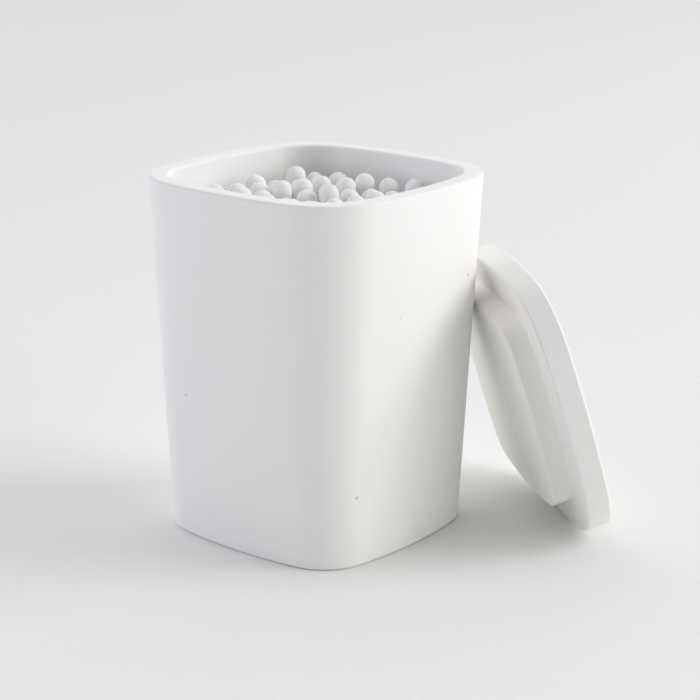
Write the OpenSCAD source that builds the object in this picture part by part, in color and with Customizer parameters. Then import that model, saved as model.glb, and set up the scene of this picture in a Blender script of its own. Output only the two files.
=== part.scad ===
// Cotton swab case: a cast cup with bulged sides and round corners, its plug lid taken off and
// leaning on one corner, and the swabs that stand in it. Millimetres, +Z up, origin at the
// middle of the cup's foot.

/* [Case] */
// Height of the case from foot to rim
case_h = 86; // [60:1:130]
// Width across the middles of two opposite sides, at the rim
case_w = 68; // [58:0.5:100]
// How far each side draws in from rim to foot
case_taper = 4.3; // [2:0.1:6]
// Radius of the gentle bulge of each side, at the rim
side_r = 111.35; // [80:0.05:300]
// Radius of the upright corners, at the rim
corner_r = 17.1; // [14:0.05:24]
// Thickness of the wall, measured level
wall = 4.7; // [3:0.1:6]
// Thickness of the floor
floor_t = 4.3; // [3:0.1:12]
// Rounding of the rim's two edges
rim_round = 0.7; // [0.3:0.05:1.2]
// Rounding of the foot's edge
foot_round = 0.9; // [0.3:0.05:2]
// Fillet between the wall and the floor inside
well_round = 2; // [0.5:0.1:2.4]

/* [Lid] */
// Thickness of the lid's plate
lid_t = 6.2; // [3:0.1:9]
// Depth of the plug under the plate
plug_t = 5.2; // [2:0.1:10]
// How far the plate's edge lies inside the rim's outer edge
lid_reveal = 0.55; // [0:0.05:2]
// Room between the plug and the mouth, all round
plug_gap = 4.3; // [0.5:0.1:5]
// Rounding of the plate's edges
lid_round = 0.7; // [0.3:0.05:1.5]
// Rounding of the plug's edge
plug_round = 0.6; // [0.3:0.05:1.5]

/* [Leaning lid] */
// Lean of the lid from upright, in degrees
lean = 17.4; // [12:0.1:30]
// Direction from the case to the lid, in degrees from +X
lean_turn = 51.8; // [35:0.1:58]
// How far the lid stands to the side of that direction
lean_shift = -7; // [-12:0.1:4]
// Gap left where the plug's edge rests on the wall
lean_gap = 0.1; // [0.05:0.05:0.3]

/* [Swabs] */
// Length of a swab over its two tips
swab_l = 74; // [60:0.5:90]
// Diameter of a cotton tip
tip_d = 5; // [3.8:0.1:5.4]
// Length of a cotton tip
tip_l = 14; // [8:0.1:18]
// Length of the full part of a tip, before it narrows to its neck
barrel_l = 7.5; // [5:0.1:7.8]
// How much a tip narrows over its full part
barrel_taper = 0.25; // [0:0.05:0.6]
// Diameter of the stick
stick_d = 2.2; // [1.6:0.1:3]
// How far the stick stops short of the end of the tip
stick_short = 2.8; // [2.5:0.1:4]
// Thickness of the cotton at the neck of a tip
neck_t = 0.3; // [0.15:0.05:0.6]
// Room between the stick and the cotton wound on it
wind_gap = 0.02; // [0.01:0.01:0.1]
// Least room between two tips, and between a tip and the wall
tip_gap = 0.25; // [0.2:0.05:1]
// Room between the lowest tips and the floor
stand_gap = 0.05; // [0.02:0.01:0.3]
// How much wider the bunch is at the top than at the foot
fan = 1.17; // [1:0.01:1.2]
// Twist of the bunch from foot to top, in degrees
twist = 6; // [0:0.5:12]
// How far the tops of the bunch lean to one side
bunch_lean = 1.6; // [0:0.1:3]
// Direction of that lean, in degrees from +X
bunch_turn = 215; // [0:5:355]
// Most that one swab stands higher than the lowest
swab_lift = 4.5; // [0:0.1:6]
// Share of that lift that falls off from the -X +Y corner to the opposite one
heap = 0.3; // [0:0.05:1]
// Share of the places that are empty
vacant = 0.06; // [0:0.02:0.6]
// Turn of the rows against the sides of the case, in degrees
row_turn = 13; // [0:1:30]
// Seed of the small differences from swab to swab
swab_seed = 17; // [1:1:99]

/* [Hidden] */
$fn = 96;
// Steps in a rounded edge of a section
round_steps = 4;
// How far a plain core reaches into the swept ring round it
core_lap = 0.5;
// Points to a side or corner of the outline, for a core and for finding the lid's seat
core_steps = 8;
seat_steps = 16;
// Halvings made to find how far out the lid's seat is
seat_halvings = 24;

// Outline of the rim: four side arcs and four corner arcs, each tangent to the next
half_w = case_w / 2;
bulge = side_r - half_w;
corner_at = (sqrt(2 * pow(side_r - corner_r, 2) - bulge * bulge) - bulge) / 2;
side_turn = atan2(corner_at, corner_at + bulge);
slope = case_taper / case_h;

// Places counted inwards from the rim's outer edge: the plug's side, and where the swept
// sections end and a plain core takes over
plug_edge = wall + plug_gap;
lid_core = plug_edge + plug_round + 2 * core_lap;
well_edge = case_taper + wall + well_round + 2 * core_lap;

// Tips and how they stand
tip_r = tip_d / 2;
barrel_r = tip_r - barrel_taper;
neck_r = stick_d / 2 + neck_t;
bore_r = stick_d / 2 + wind_gap;
bore_end = stick_short - wind_gap;
pitch = tip_d + tip_gap;
row_pitch = pitch * sin(60);
rows = ceil(case_w / row_pitch / 2);
top_sway = (fan - 1) * pitch / 2;

function drawn_in(z) = slope * (case_h - z);

// Points of an arc about [x, y] in a section, from one angle to another
function arc(x, y, r, from, to) = [
    for (k = [0 : round_steps])
        let (a = from + (to - from) * k / round_steps)
        [x + r * cos(a), y + r * sin(a)]
];

// Points of the outline, moved in by edge, with steps points to each side and corner
function outline(edge, steps) = [
    for (q = [0 : 3], k = [0 : 2 * steps - 1])
        let (
            on_side = k < steps,
            turn = on_side
                ? side_turn * (2 * k / steps - 1)
                : side_turn + (90 - 2 * side_turn) * (k / steps - 1),
            r = (on_side ? side_r : corner_r) - edge,
            x = (on_side ? -bulge : corner_at) + r * cos(turn),
            y = (on_side ? 0 : corner_at) + r * sin(turn)
        )
        [x * cos(90 * q) - y * sin(90 * q), x * sin(90 * q) + y * cos(90 * q)]
];

// Upright wedge between two seams, high enough for any section
module wedge(apex, from, to) {
    translate([0, 0, -core_lap])
        linear_extrude(case_h + 2 * core_lap) polygon([apex, from, to]);
}

// Carries a section round the outline; x in the section counts from the rim's outer edge. Each
// seam runs through the centres of the two arcs that meet there.
module sweep() {
    near = 2 * corner_at;
    far = 2 * corner_at + bulge;
    for (q = [0 : 3])
        rotate(90 * q) {
            intersection() {
                translate([-bulge, 0, 0]) rotate_extrude() translate([side_r, 0]) children();
                wedge([-bulge, 0], [far, -near], [far, near]);
            }
            intersection() {
                translate([corner_at, corner_at, 0])
                    rotate_extrude() translate([corner_r, 0]) children();
                wedge([corner_at, corner_at], [far, near], [near, far]);
            }
        }
}

// Section of the wall with its rounded rim and foot and the fillet to the floor
module wall_section() {
    foot_x = -drawn_in(foot_round) - foot_round;
    rim_out = -drawn_in(case_h - rim_round) - rim_round;
    rim_in = -drawn_in(case_h - rim_round) - wall + rim_round;
    well_z = floor_t + well_round;
    well_x = -drawn_in(well_z) - wall - well_round;
    polygon(concat(
        [[-well_edge, 0]],
        arc(foot_x, foot_round, foot_round, -90, 0),
        arc(rim_out, case_h - rim_round, rim_round, 0, 90),
        arc(rim_in, case_h - rim_round, rim_round, 90, 180),
        arc(well_x, well_z, well_round, 0, -90),
        [[-well_edge, floor_t]]
    ));
}

// Section of the lid: x counts from the rim's outer edge, y from the plate's face to the plug's
plate_x = -lid_reveal - lid_round;
plug_x = -plug_edge - plug_round;
lid_deep = lid_t + plug_t;
lid_points = concat(
    [[-lid_core, 0]],
    arc(plate_x, lid_round, lid_round, -90, 0),
    arc(plate_x, lid_t - lid_round, lid_round, 0, 90),
    [[-plug_edge, lid_t]],
    arc(plug_x, lid_deep - plug_round, plug_round, 0, 90),
    [[-lid_core, lid_deep]]
);

// Room from a point to the outside of the wall, measured level; negative inside
function wall_room(p) =
    let (
        x = max(abs(p.x), abs(p.y)),
        y = min(abs(p.x), abs(p.y)),
        on_side = atan2(y, x + bulge) <= side_turn,
        from = on_side ? [x + bulge, y] : [x - corner_at, y - corner_at]
    )
    norm(from) - (on_side ? side_r : corner_r) + drawn_in(p.z);

// Where the lid's middle is when it leans at a given reach from the case's axis
lid_up = max([for (s = lid_points) (half_w + s.x) * cos(lean) + s.y * sin(lean)]);
function lid_at(reach) = [
    reach * cos(lean_turn) - lean_shift * sin(lean_turn),
    reach * sin(lean_turn) + lean_shift * cos(lean_turn),
    lid_up
];

// A point of the lid, given across, up and through the plate, turned to the lean
function leaned(p) =
    let (out = -p.y * sin(lean) - p.z * cos(lean))
    [
        p.x * sin(lean_turn) + out * cos(lean_turn),
        -p.x * cos(lean_turn) + out * sin(lean_turn),
        p.y * cos(lean) - p.z * sin(lean)
    ];

// Reach at which the lid's nearest point comes to the gap that is left at the wall
function lid_reach(points, near, far, halvings) =
    let (
        mid = (near + far) / 2,
        room = min([for (p = points) wall_room(p + lid_at(mid))])
    )
    halvings == 0 ? far
    : room < lean_gap ? lid_reach(points, mid, far, halvings - 1)
    : lid_reach(points, near, mid, halvings - 1);

// Half section of a cotton tip, standing on its round end, with the hole for the stick
module tip_section() {
    intersection() {
        translate([0, tip_r]) circle(tip_r);
        square(tip_r);
    }
    difference() {
        polygon([[0, tip_r], [tip_r, tip_r], [barrel_r, barrel_l], [neck_r, tip_l], [0, tip_l]]);
        translate([0, bore_end]) square([bore_r, tip_l]);
    }
}

function turned(p, a) = [p.x * cos(a) - p.y * sin(a), p.x * sin(a) + p.y * cos(a)];

// Room left round a tip that stands at a level place inside the case
function well_room(p, z) = -wall_room([p.x, p.y, z]) - wall - tip_r - tip_gap;

// Each swab that finds room, as its foot, the way its top leans from there, and its lift
chances = rands(0, 1, 4 * pow(2 * rows + 1, 2), swab_seed);
nose_z = floor_t + tip_r;
well_fit = well_round * (1 - sin(45));
top_z = min(case_h, floor_t + swab_l - tip_r);
swabs = [
    for (i = [-rows : rows], j = [-rows : rows])
        let (
            n = 4 * ((i + rows) * (2 * rows + 1) + j + rows),
            foot = turned([pitch * (i + (j % 2 == 0 ? 0 : 0.5)), row_pitch * j], row_turn),
            sway = top_sway * sqrt(chances[n]) * [cos(360 * chances[n + 1]), sin(360 * chances[n + 1])],
            top = turned(fan * foot, twist) + turned([bunch_lean, 0], bunch_turn) + sway,
            corner = max(0, min(1, (foot.y - foot.x) / case_w + 0.5)),
            lift = swab_lift * (heap * corner + (1 - heap) * chances[n + 2])
        )
        if (chances[n + 3] >= vacant && well_room(foot, nose_z) > well_fit && well_room(top, top_z) > 0)
            [[foot.x, foot.y, floor_t + stand_gap + lift], top - foot]
];

// Carries a shape to every swab, with its foot at the origin and its length along +Z
module each_swab() {
    for (s = swabs)
        translate(s[0])
            rotate([0, asin(norm(s[1]) / swab_l), atan2(s[1].y, s[1].x)])
                children();
}

module case_body() {
    color("#f4f3f1") {
        sweep() wall_section();
        linear_extrude(floor_t) polygon(outline(well_edge - core_lap, core_steps));
    }
}

module lid() {
    edges = [for (s = lid_points, o = outline(-s.x, seat_steps)) leaned([o.x, o.y, s.y])];
    reach = lid_reach(edges, half_w, half_w + case_h, seat_halvings);
    color("#f4f3f1")
        translate(lid_at(reach))
            rotate([90 + lean, 0, lean_turn - 90]) {
                sweep() polygon(lid_points);
                linear_extrude(lid_deep) polygon(outline(lid_core - core_lap, core_steps));
            }
}

module swab_sticks() {
    color("#efece6")
        each_swab()
            translate([0, 0, stick_short]) cylinder(d = stick_d, h = swab_l - 2 * stick_short);
}

module swab_tips() {
    color("#fbfaf8")
        each_swab() {
            rotate_extrude() tip_section();
            translate([0, 0, swab_l]) mirror([0, 0, 1]) rotate_extrude() tip_section();
        }
}

case_body();
lid();
swab_sticks();
swab_tips();
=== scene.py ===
import math
import random

import bmesh
import bpy
from mathutils import Matrix, Vector, noise


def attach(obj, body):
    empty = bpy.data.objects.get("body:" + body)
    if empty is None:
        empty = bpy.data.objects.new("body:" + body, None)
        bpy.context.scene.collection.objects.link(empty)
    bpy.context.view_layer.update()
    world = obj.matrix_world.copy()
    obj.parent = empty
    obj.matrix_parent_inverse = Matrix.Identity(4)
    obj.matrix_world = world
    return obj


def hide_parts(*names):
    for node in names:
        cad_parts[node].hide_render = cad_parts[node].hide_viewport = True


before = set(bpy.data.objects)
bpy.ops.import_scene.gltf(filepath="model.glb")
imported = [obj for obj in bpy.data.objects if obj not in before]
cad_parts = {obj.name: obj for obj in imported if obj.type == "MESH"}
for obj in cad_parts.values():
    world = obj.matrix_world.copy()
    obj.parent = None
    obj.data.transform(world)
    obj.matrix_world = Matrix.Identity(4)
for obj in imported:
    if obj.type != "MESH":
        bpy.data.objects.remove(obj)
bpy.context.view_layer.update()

# Case: one cup cast in white mineral-filled resin, with bulged sides that draw in towards the foot.
# Its section is carried round the rim's outline, along the four side arcs and the four corner arcs,
# and its edges are then eased as a mould's are.
MM = 0.001
CASE_H = 86 * MM
HALF_W = 34 * MM
TAPER = 4.3 * MM
SIDE_R = 111.35 * MM
CORNER_R = 17.1 * MM
WALL = 4.7 * MM
FLOOR_T = 4.3 * MM
RIM_ROUND = 0.7 * MM
FOOT_ROUND = 0.9 * MM
WELL_ROUND = 2 * MM
WELL_EDGE = TAPER + WALL + 3 * MM
BULGE = SIDE_R - HALF_W
CORNER_AT = (math.sqrt(2 * (SIDE_R - CORNER_R) ** 2 - BULGE ** 2) - BULGE) / 2
SIDE_TURN = math.atan2(CORNER_AT, CORNER_AT + BULGE)
SIDE_STEPS = 16
CORNER_STEPS = 24
SHARP = math.radians(40)


def carry_round(bm, section):
    """Carries a section of (inward, height) points once round the rim's outline and closes both ends."""
    points = [bm.verts.new((HALF_W - inward, 0, height)) for inward, height in section]
    swept = points + [bm.edges.new(pair) for pair in zip(points, points[1:])]
    corner_turn = math.pi / 2 - 2 * SIDE_TURN
    arcs = [((-BULGE, 0), SIDE_TURN, SIDE_STEPS // 2, 0)]
    for quarter in range(4):
        arcs.append(((CORNER_AT, CORNER_AT), corner_turn, CORNER_STEPS, quarter))
        if quarter < 3:
            arcs.append(((-BULGE, 0), 2 * SIDE_TURN, SIDE_STEPS, quarter + 1))
    arcs.append(((-BULGE, 0), SIDE_TURN, SIDE_STEPS // 2, 4))
    for centre, turn, steps, quarter in arcs:
        about = Matrix.Rotation(quarter * math.pi / 2, 3, "Z") @ Vector((*centre, 0))
        swept = bmesh.ops.spin(
            bm, geom=swept, cent=about, axis=(0, 0, 1), angle=turn, steps=steps
        )["geom_last"]
    bmesh.ops.remove_doubles(bm, verts=bm.verts, dist=1e-6)
    bmesh.ops.holes_fill(bm, edges=[e for e in bm.edges if e.is_boundary])
    bmesh.ops.recalc_face_normals(bm, faces=bm.faces)


def ease_edges(bm, radius, chosen):
    """Rounds the sharp edges that the chosen test accepts, by their height and whether they stand out."""
    sharp = [e for e in bm.edges if e.calc_face_angle(0) > SHARP]
    bmesh.ops.bevel(
        bm, geom=[e for e in sharp if chosen(e.verts[0].co.z, e.is_convex)], offset=radius,
        affect="EDGES", segments=4, profile=0.5, material=-1,
    )


def finish_piece(bm, name, material, slot, *nodes):
    """Makes a piece of the mesh, gives it its finish and sets it on the body in place of CAD nodes."""
    mesh = bpy.data.meshes.new(name)
    for face in bm.faces:
        face.smooth = True
    bm.to_mesh(mesh)
    bm.free()
    piece = bpy.data.objects.new(name, mesh)
    bpy.context.scene.collection.objects.link(piece)
    mesh.materials.append(material)
    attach(piece, "root")
    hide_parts(*nodes)
    return piece


def linear(hex_colour):
    """A colour written as sRGB hex, in the linear values that a shader takes."""
    parts = [int(hex_colour[i:i + 2], 16) / 255 for i in (1, 3, 5)]
    return [c / 12.92 if c <= 0.04045 else ((c + 0.055) / 1.055) ** 2.4 for c in parts] + [1.0]


def add_node(material, kind, inputs=(), **settings):
    """Adds a node, with its settings, and its inputs as values or as sockets to link from."""
    tree = material.node_tree
    node = tree.nodes.new(kind)
    for key, value in settings.items():
        setattr(node, key, value)
    for key, value in dict(inputs).items():
        if isinstance(value, bpy.types.NodeSocket):
            tree.links.new(value, node.inputs[key])
        else:
            node.inputs[key].default_value = value
    return node


def new_material(name):
    """An empty node material and the shader that shows on its surface."""
    material = bpy.data.materials.new(name)
    material.use_nodes = True
    material.node_tree.nodes.clear()
    shader = add_node(material, "ShaderNodeBsdfPrincipled")
    add_node(material, "ShaderNodeOutputMaterial", {"Surface": shader.outputs["BSDF"]})
    return material, shader


def per_metre(size_mm):
    """Texture scale at which one feature of a pattern is that many millimetres wide."""
    return 1 / (size_mm * MM)


# Cast resin, sanded: no gloss, a hardly visible cloudiness, a fine tooth, drawn coarser than it is so
# that it shows, and a few pinholes where air bubbles opened. The pinholes are dented by the bump and
# have the shade inside them painted in as a darker grey.
resin, shader = new_material("cast_resin_matte")
shader.inputs["IOR"].default_value = 1.5
coords = add_node(resin, "ShaderNodeTexCoord").outputs["Object"]
clouds = add_node(
    resin, "ShaderNodeTexNoise", {"Vector": coords, "Scale": per_metre(22), "Detail": 3.0}
)
body_colour = add_node(
    resin, "ShaderNodeMix",
    {"Factor": clouds.outputs["Fac"], 6: linear("#fdfcf8"), 7: linear("#fefdfa")},
    data_type="RGBA",
)
cells = add_node(
    resin, "ShaderNodeTexVoronoi", {"Vector": coords, "Scale": per_metre(9), "Randomness": 1.0}
)
few = add_node(
    resin, "ShaderNodeMapRange",
    {"Value": cells.outputs["Color"], "From Min": 0.5, "From Max": 0.505},
)
dot = add_node(
    resin, "ShaderNodeMapRange",
    {"Value": cells.outputs["Distance"], "From Min": 0.02, "From Max": 0.07, "To Min": 1.0, "To Max": 0.0},
)
pinholes = add_node(
    resin, "ShaderNodeMath", {0: few.outputs["Result"], 1: dot.outputs["Result"]}, operation="MULTIPLY"
)
# Painted shade: the pinholes are coloured a darker grey in place of the shade that falls inside them.
with_hole_shade = add_node(
    resin, "ShaderNodeMix",
    {"Factor": pinholes.outputs[0], 6: body_colour.outputs[2], 7: linear("#d6d4cf")},
    data_type="RGBA",
)
tooth = add_node(
    resin, "ShaderNodeTexNoise", {"Vector": coords, "Scale": per_metre(0.5), "Detail": 4.0}
)
roughness = add_node(
    resin, "ShaderNodeMapRange", {"Value": tooth.outputs["Fac"], "To Min": 0.52, "To Max": 0.68}
)
height = add_node(
    resin, "ShaderNodeMath",
    {0: pinholes.outputs[0], 1: -0.15, 2: tooth.outputs["Fac"]}, operation="MULTIPLY_ADD",
)
relief = add_node(
    resin, "ShaderNodeBump",
    {"Strength": 0.25, "Distance": 0.05 * MM, "Height": height.outputs[0]},
)
resin.node_tree.links.new(with_hole_shade.outputs[2], shader.inputs["Base Color"])
resin.node_tree.links.new(roughness.outputs["Result"], shader.inputs["Roughness"])
resin.node_tree.links.new(relief.outputs["Normal"], shader.inputs["Normal"])

bm = bmesh.new()
carry_round(bm, [
    (WELL_EDGE, 0),
    (TAPER, 0),
    (0, CASE_H),
    (WALL, CASE_H),
    (TAPER + WALL - TAPER * FLOOR_T / CASE_H, FLOOR_T),
    (WELL_EDGE, FLOOR_T),
])
ease_edges(bm, RIM_ROUND, lambda z, convex: z > CASE_H - MM)
ease_edges(bm, FOOT_ROUND, lambda z, convex: z < MM)
ease_edges(bm, WELL_ROUND, lambda z, convex: not convex)
case = finish_piece(bm, "case_cup", resin, "resin", "case_body")
case.modifiers.new("even_shading", "WEIGHTED_NORMAL")

# Lid: a plate of the case's own outline with a plug under it, cast in one piece of the same resin.
# It is off the case and leans on the corner between two sides, plate outwards. Its place, the middle
# of the plate's outer face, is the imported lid's.
LID_T = 6.2 * MM
PLUG_T = 5.2 * MM
LID_REVEAL = 0.55 * MM
PLUG_EDGE = WALL + 4.3 * MM
LID_CORE = PLUG_EDGE + 1.6 * MM
LID_ROUND = 0.7 * MM
PLUG_ROUND = 0.6 * MM
ROOT_ROUND = 0.3 * MM
LEAN = math.radians(17.4)
LEAN_TURN = math.radians(51.8)

lean = Matrix.Rotation(LEAN_TURN - math.pi / 2, 4, "Z") @ Matrix.Rotation(math.pi / 2 + LEAN, 4, "X")
packed = [lean.inverted() @ vert.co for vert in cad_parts["lid"].data.vertices]
least = [min(along) for along in zip(*packed)]
most = [max(along) for along in zip(*packed)]
outer_middle = Vector(((least[0] + most[0]) / 2, (least[1] + most[1]) / 2, least[2]))

bm = bmesh.new()
carry_round(bm, [
    (LID_CORE, 0),
    (LID_REVEAL, 0),
    (LID_REVEAL, LID_T),
    (PLUG_EDGE, LID_T),
    (PLUG_EDGE, LID_T + PLUG_T),
    (LID_CORE, LID_T + PLUG_T),
])
ease_edges(bm, PLUG_ROUND, lambda z, convex: z > LID_T + MM)
ease_edges(bm, LID_ROUND, lambda z, convex: convex and z < LID_T + MM)
ease_edges(bm, ROOT_ROUND, lambda z, convex: not convex)
bmesh.ops.transform(bm, matrix=lean @ Matrix.Translation(outer_middle), verts=bm.verts)
lid = finish_piece(bm, "plug_lid", resin, "resin", "lid")
lid.modifiers.new("even_shading", "WEIGHTED_NORMAL")

# Swab sticks: thin rods of tightly rolled paper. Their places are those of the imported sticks: the
# middles of each rod's two ends.
STICK_R = 1.1 * MM
STICK_SIDES = 10


def loose_solids(node):
    """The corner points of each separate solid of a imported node."""
    bm = bmesh.new()
    bm.from_mesh(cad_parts[node].data)
    bmesh.ops.remove_doubles(bm, verts=bm.verts, dist=1e-6)
    left = set(bm.verts)
    solids = []
    while left:
        found = [left.pop()]
        for vert in found:
            for edge in vert.link_edges:
                other = edge.other_vert(vert)
                if other in left:
                    left.remove(other)
                    found.append(other)
        solids.append([vert.co.copy() for vert in found])
    bm.free()
    return solids


def middle(points):
    """The mean place of some points."""
    return sum(points, Vector()) / len(points)


rods = []
for points in loose_solids("swab_sticks"):
    half_way = middle(points).z
    foot = middle([p for p in points if p.z < half_way])
    head = middle([p for p in points if p.z > half_way])
    rods.append((foot, head))
rods.sort(key=lambda rod: (round(rod[0].x, 6), round(rod[0].y, 6)))

# Rolled paper: plain, with a faint grain along the roll.
paper, shader = new_material("rolled_paper")
shader.inputs["IOR"].default_value = 1.45
shader.inputs["Roughness"].default_value = 0.8
coords = add_node(paper, "ShaderNodeTexCoord").outputs["Object"]
along = add_node(paper, "ShaderNodeMapping", {"Vector": coords, "Scale": (1, 1, 0.15)})
grain = add_node(
    paper, "ShaderNodeTexNoise",
    {"Vector": along.outputs["Vector"], "Scale": per_metre(0.6), "Detail": 3.0},
)
paper_colour = add_node(
    paper, "ShaderNodeMix",
    {"Factor": grain.outputs["Fac"], 6: linear("#e6e2db"), 7: linear("#f3f0ea")},
    data_type="RGBA",
)
paper_relief = add_node(
    paper, "ShaderNodeBump",
    {"Strength": 0.3, "Distance": 0.05 * MM, "Height": grain.outputs["Fac"]},
)
paper.node_tree.links.new(paper_colour.outputs[2], shader.inputs["Base Color"])
paper.node_tree.links.new(paper_relief.outputs["Normal"], shader.inputs["Normal"])

bm = bmesh.new()
for foot, head in rods:
    axis = head - foot
    bmesh.ops.create_cone(
        bm, cap_ends=True, segments=STICK_SIDES, radius1=STICK_R, radius2=STICK_R, depth=axis.length,
        matrix=Matrix.Translation((foot + head) / 2) @ axis.to_track_quat("Z", "Y").to_matrix().to_4x4(),
    )
finish_piece(bm, "paper_sticks", paper, "paper", "swab_sticks")

# Swab tips: cotton wound on both ends of each stick, round at the end and narrowing to a neck.
# No two are wound alike, so each has its own lumps and a slightly different girth.
STICK_SHORT = 2.8 * MM
TIP_R = 2.5 * MM
TIP_L = 14 * MM
BARREL_L = 7.5 * MM
BARREL_TAPER = 0.25 * MM
NECK_R = 1.3 * MM
BORE_R = 1.12 * MM
BORE_END = 2.78 * MM
HEAD_SIDES = 16
HEAD_END_STEPS = 5
HEAD_BARREL_STEPS = 3
FOOT_SIDES = 8
FOOT_END_STEPS = 3
FOOT_BARREL_STEPS = 1
LUMP = 0.15 * MM
LUMP_INWARD = 0.4
LUMP_SIZE = 1.9 * MM
GIRTH_LEAST = 0.97
GIRTH_MOST = 1.03

# Wound cotton: dull off-white fibre with a soft bloom at its edge, its strands drawn coarser than
# they are so that they show.
cotton, shader = new_material("wound_cotton")
shader.inputs["IOR"].default_value = 1.45
shader.inputs["Roughness"].default_value = 0.9
shader.inputs["Sheen Weight"].default_value = 0.25
shader.inputs["Sheen Roughness"].default_value = 0.5
coords = add_node(cotton, "ShaderNodeTexCoord").outputs["Object"]
fibre = add_node(
    cotton, "ShaderNodeTexNoise",
    {"Vector": coords, "Scale": per_metre(0.45), "Detail": 4.0, "Distortion": 0.6},
)
strands = add_node(
    cotton, "ShaderNodeMapRange", {"Value": fibre.outputs["Fac"], "From Min": 0.3, "From Max": 0.6}
)
cotton_colour = add_node(
    cotton, "ShaderNodeMix",
    {"Factor": strands.outputs["Result"], 6: linear("#faf8f3"), 7: linear("#fefefc")},
    data_type="RGBA",
)
cotton_relief = add_node(
    cotton, "ShaderNodeBump",
    {"Strength": 0.9, "Distance": 0.22 * MM, "Height": fibre.outputs["Fac"]},
)
cotton.node_tree.links.new(cotton_colour.outputs[2], shader.inputs["Base Color"])
cotton.node_tree.links.new(cotton_relief.outputs["Normal"], shader.inputs["Normal"])


def tip_section(girth, end_steps, barrel_steps):
    """A tip's (radius, height) points: its round end, barrel and neck, and the bore for the stick."""
    turns = [math.pi / 2 * step / end_steps for step in range(end_steps + 1)]
    shares = [(step + 1) / barrel_steps for step in range(barrel_steps)]
    outline = [(TIP_R * math.sin(turn), TIP_R * (1 - math.cos(turn))) for turn in turns]
    outline += [(TIP_R - BARREL_TAPER * share, TIP_R + (BARREL_L - TIP_R) * share) for share in shares]
    outline.append((NECK_R, TIP_L))
    bore = [(BORE_R, TIP_L), (BORE_R, BORE_END), (0, BORE_END)]
    return [(radius * girth, height) for radius, height in outline] + bore


def wind_tip(bm, end, axis, section, sides):
    """Winds one tip of cotton, from its round end down the stick."""
    new = bmesh.new()
    points = [new.verts.new((radius, 0, height)) for radius, height in section]
    edges = [new.edges.new(pair) for pair in zip(points, points[1:])]
    bmesh.ops.spin(
        new, geom=points + edges, cent=(0, 0, 0), axis=(0, 0, 1), angle=2 * math.pi, steps=sides,
        use_merge=True,
    )
    bmesh.ops.remove_doubles(new, verts=new.verts, dist=1e-6)
    bmesh.ops.recalc_face_normals(new, faces=new.faces)
    outside = [v for v in new.verts if v.co.xy.length > NECK_R * GIRTH_MOST or v.co.z < TIP_R]
    bmesh.ops.transform(
        new, verts=new.verts,
        matrix=Matrix.Translation(end) @ axis.to_track_quat("Z", "Y").to_matrix().to_4x4(),
    )
    new.normal_update()
    lumps = [noise.noise(vert.co / LUMP_SIZE) - LUMP_INWARD for vert in outside]
    for vert, lump in zip(outside, lumps):
        vert.co += vert.normal * lump * LUMP
    holder = bpy.data.meshes.new("tip")
    new.to_mesh(holder)
    new.free()
    bm.from_mesh(holder)
    bpy.data.meshes.remove(holder)


girths = random.Random(5)
bm = bmesh.new()
for foot, head in rods:
    axis = (head - foot).normalized()
    girth = girths.uniform(GIRTH_LEAST, GIRTH_MOST)
    head_section = tip_section(girth, HEAD_END_STEPS, HEAD_BARREL_STEPS)
    foot_section = tip_section(GIRTH_LEAST, FOOT_END_STEPS, FOOT_BARREL_STEPS)
    wind_tip(bm, head + axis * STICK_SHORT, -axis, head_section, HEAD_SIDES)
    wind_tip(bm, foot - axis * STICK_SHORT, axis, foot_section, FOOT_SIDES)
finish_piece(bm, "cotton_tips", cotton, "cotton", "swab_tips")

# Floor: a sheet of pale board, wide enough to fill the picture to its upper edge.
FLOOR_HALF = 4
bm = bmesh.new()
bmesh.ops.create_grid(bm, x_segments=1, y_segments=1, size=FLOOR_HALF)
mesh = bpy.data.meshes.new("floor")
bm.to_mesh(mesh)
bm.free()
floor = bpy.data.objects.new("floor", mesh)
bpy.context.scene.collection.objects.link(floor)
board, shader = new_material("pale_board")
shader.inputs["Base Color"].default_value = linear("#f6f6f3")
shader.inputs["Roughness"].default_value = 0.8
mesh.materials.append(board)

# Camera: at the photograph's place, looking down on the corner between two sides.
AZIMUTH = math.radians(39.348)
ELEVATION = math.radians(16.438)
ROLL = math.radians(0.299)
CAMERA_AT = Vector((284.54, -334.48, 172.09)) * MM
back = Vector((
    math.sin(AZIMUTH) * math.cos(ELEVATION), -math.cos(AZIMUTH) * math.cos(ELEVATION), math.sin(ELEVATION),
))
level = Vector((math.cos(AZIMUTH), math.sin(AZIMUTH), 0))
upright = back.cross(level)
right = math.cos(ROLL) * level + math.sin(ROLL) * upright
up = math.cos(ROLL) * upright - math.sin(ROLL) * level
camera = bpy.data.objects.new("camera", bpy.data.cameras.new("camera"))
camera.data.lens = 98.2
camera.data.sensor_width = 36
camera.matrix_world = (
    Matrix.Translation(CAMERA_AT)
    @ Matrix((right, up, back)).transposed().to_4x4()
)
bpy.context.scene.collection.objects.link(camera)
bpy.context.scene.camera = camera

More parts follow.
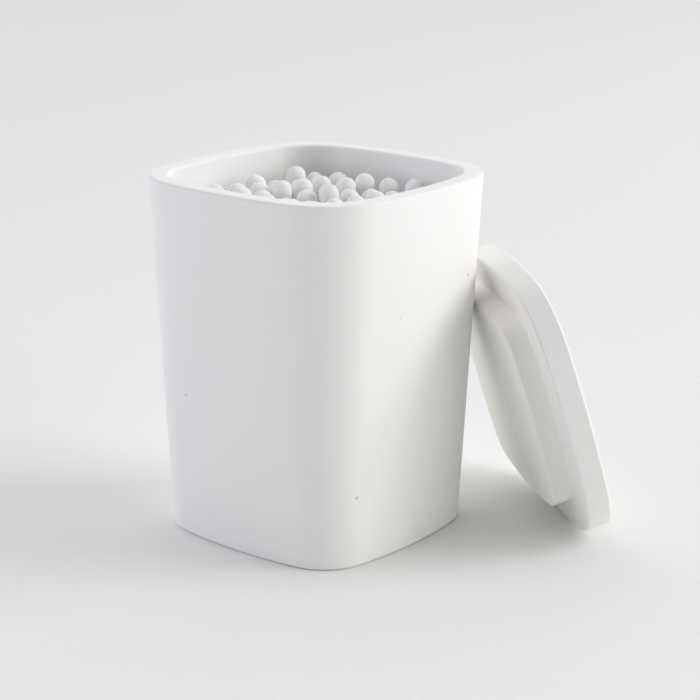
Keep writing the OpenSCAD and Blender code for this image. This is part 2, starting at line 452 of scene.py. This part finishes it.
# Light: a wide soft lamp low behind the lid, as from a window, a weaker one before it and one low on
# the left, with the light of a white room that is stronger from its far left side.
LAMP_FAR = 3.0
GLOW_FROM = (-0.78, 0.52, -0.22)
GLOW_STRENGTH = 0.9
WARM_SHADE = (1.0, 0.985, 0.94, 1)
COOL_GLOW = (0.995, 0.995, 1.02, 1)


def add_lamp(name, turn, height, size, power, tint=(1, 1, 1)):
    """A square soft lamp, far off at a turn from +X and a height in degrees, facing the case."""
    lamp = bpy.data.objects.new(name, bpy.data.lights.new(name, "AREA"))
    lamp.data.size = size
    lamp.data.energy = power
    lamp.data.color = tint
    turn, height = math.radians(turn), math.radians(height)
    towards = Vector((
        math.cos(turn) * math.cos(height), math.sin(turn) * math.cos(height), math.sin(height),
    ))
    lamp.matrix_world = (
        Matrix.Translation(towards * LAMP_FAR) @ towards.to_track_quat("Z", "Y").to_matrix().to_4x4()
    )
    bpy.context.scene.collection.objects.link(lamp)


add_lamp("window", 41, 32, 1.65, 37, (1.0, 1.005, 1.06))
add_lamp("side_fill", 8, 17, 1.8, 16.5, (1.0, 0.99, 0.98))
add_lamp("left_fill", -128, 26, 2.2, 11, (0.95, 0.95, 1.42))
world = bpy.data.worlds.new("room")
bpy.context.scene.world = world
world.use_nodes = True
way = add_node(world, "ShaderNodeTexCoord").outputs["Generated"]
side = add_node(
    world, "ShaderNodeVectorMath", {0: way, 1: GLOW_FROM}, operation="DOT_PRODUCT"
)
share = add_node(
    world, "ShaderNodeMapRange",
    {"Value": side.outputs["Value"], "From Min": -1.0, "From Max": 0.2, "To Max": GLOW_STRENGTH},
)
hue = add_node(
    world, "ShaderNodeMix",
    {"Factor": share.outputs["Result"], 6: WARM_SHADE, 7: COOL_GLOW},
    data_type="RGBA",
)
walls = world.node_tree.nodes["Background"]
world.node_tree.links.new(hue.outputs[2], walls.inputs["Color"])
world.node_tree.links.new(share.outputs["Result"], walls.inputs["Strength"])

bpy.context.scene.view_settings.view_transform = "Standard"
